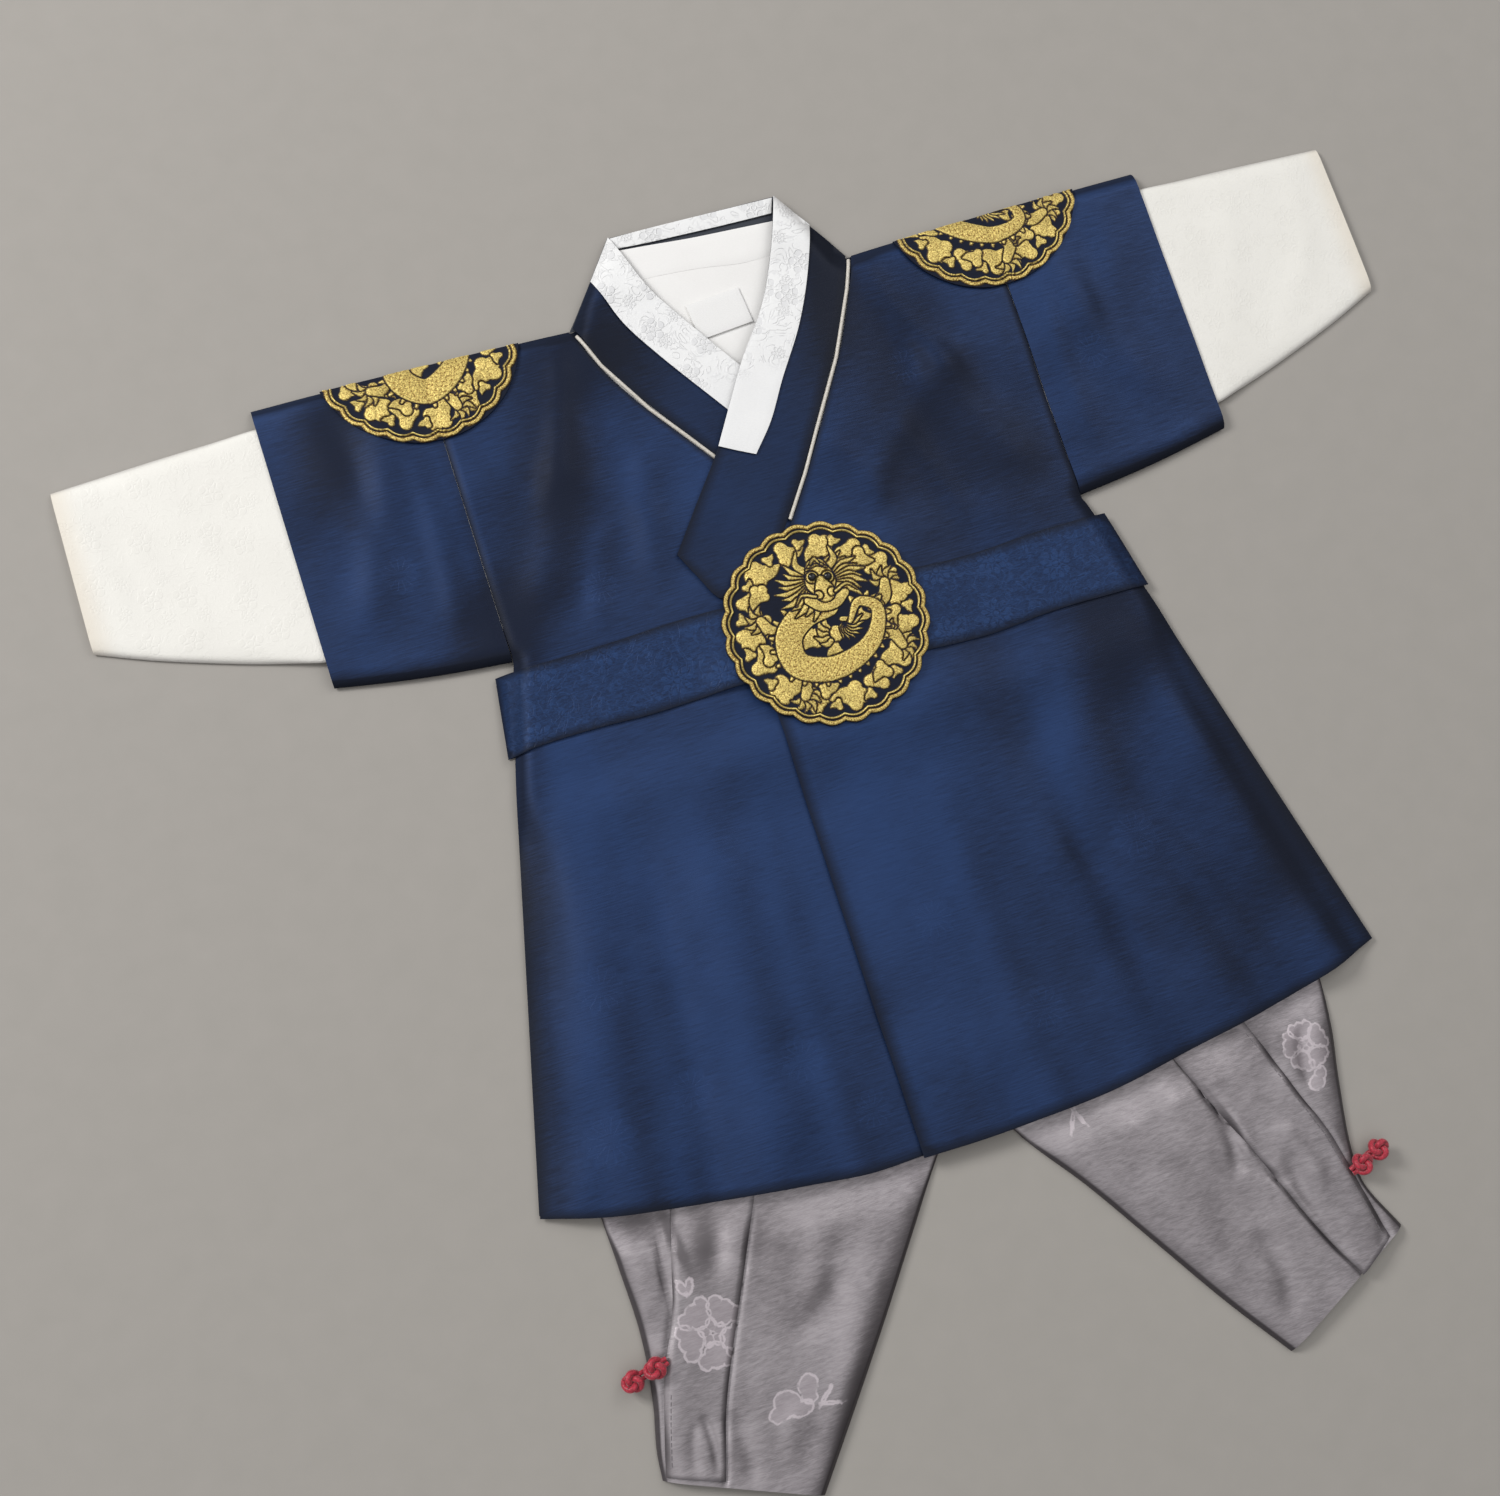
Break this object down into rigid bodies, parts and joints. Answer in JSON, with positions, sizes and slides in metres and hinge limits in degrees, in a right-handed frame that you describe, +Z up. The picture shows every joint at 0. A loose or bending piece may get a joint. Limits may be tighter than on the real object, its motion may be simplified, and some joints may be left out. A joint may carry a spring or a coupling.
{
  "type": "child hanbok set",
  "caption": "Child's hanbok laid flat: navy court robe with belt and gold roundels over a white inner shirt, grey trousers with red ankle knots.",
  "frame": {"origin": "middle of the plan at the surface the garment lies on", "axes": "+X to the wearer's left along the sleeves, +Y towards the collar, +Z up from the surface"},
  "size_m": [0.7326, 0.6766, 0.0163],
  "materials": {
    "robe_back": "navy satin jacquard, soft sheen",
    "robe_front_left": "navy satin jacquard, soft sheen",
    "robe_front_right": "navy satin jacquard, soft sheen",
    "robe_sleeve_left": "navy satin jacquard, soft sheen",
    "robe_sleeve_right": "navy satin jacquard, soft sheen",
    "collar_left": "navy satin jacquard, soft sheen",
    "collar_right": "navy satin jacquard, soft sheen",
    "collar_back": "navy satin jacquard, soft sheen",
    "belt_front": "blue brocade, soft sheen",
    "belt_back": "blue brocade, soft sheen",
    "neckband_left": "ivory-white jacquard, soft sheen",
    "neckband_right": "ivory-white jacquard, soft sheen",
    "neckband_back": "ivory-white jacquard, soft sheen",
    "neckband_back_outer": "ivory-white jacquard, soft sheen",
    "shirt_collar_back": "ivory-white jacquard, soft sheen",
    "shirt_back": "ivory-white jacquard, soft sheen",
    "shirt_front_left": "ivory-white jacquard, soft sheen",
    "shirt_front_right": "ivory-white jacquard, soft sheen",
    "shirt_sleeve_left": "ivory-white jacquard, soft sheen",
    "shirt_sleeve_right": "ivory-white jacquard, soft sheen",
    "label_blank": "plain white ribbon",
    "piping_left": "ivory satin cord",
    "piping_right": "ivory satin cord",
    "roundel_chest": "gold thread embroidery",
    "roundel_shoulder_left": "gold thread embroidery",
    "roundel_shoulder_right": "gold thread embroidery",
    "roundel_shoulder_left_back": "gold thread embroidery",
    "roundel_shoulder_right_back": "gold thread embroidery",
    "trousers_waistband": "silver-grey satin jacquard",
    "trousers_leg_left": "silver-grey satin jacquard",
    "trousers_leg_right": "silver-grey satin jacquard",
    "trousers_flap_left": "silver-grey satin jacquard",
    "trousers_flap_right": "silver-grey satin jacquard",
    "ankle_button_left": "red knotted cord",
    "ankle_button_right": "red knotted cord",
    "ankle_loop_left": "red knotted cord",
    "ankle_loop_right": "red knotted cord"
  },
  "bodies": {
    "root": {"robe_back": "robe_back", "robe_front_left": "robe_front_left", "robe_front_right": "robe_front_right", "robe_sleeve_left": "robe_sleeve_left", "robe_sleeve_right": "robe_sleeve_right", "collar_left": "collar_left", "collar_right": "collar_right", "collar_back": "collar_back", "belt_front": "belt_front", "belt_back": "belt_back", "neckband_left": "neckband_left", "neckband_right": "neckband_right", "neckband_back": "neckband_back", "neckband_back_outer": "neckband_back_outer", "shirt_collar_back": "shirt_collar_back", "shirt_back": "shirt_back", "shirt_front_left": "shirt_front_left", "shirt_front_right": "shirt_front_right", "shirt_sleeve_left": "shirt_sleeve_left", "shirt_sleeve_right": "shirt_sleeve_right", "label_blank": "label_blank", "piping_left": "piping_left", "piping_right": "piping_right", "roundel_chest": "roundel_chest", "roundel_shoulder_left": "roundel_shoulder_left", "roundel_shoulder_right": "roundel_shoulder_right", "roundel_shoulder_left_back": "roundel_shoulder_left_back", "roundel_shoulder_right_back": "roundel_shoulder_right_back", "trousers_waistband": "trousers_waistband", "trousers_leg_left": "trousers_leg_left", "trousers_leg_right": "trousers_leg_right", "trousers_flap_left": "trousers_flap_left", "trousers_flap_right": "trousers_flap_right", "ankle_button_left": "ankle_button_left", "ankle_button_right": "ankle_button_right", "ankle_loop_left": "ankle_loop_left", "ankle_loop_right": "ankle_loop_right"}
  },
  "joints": []
}
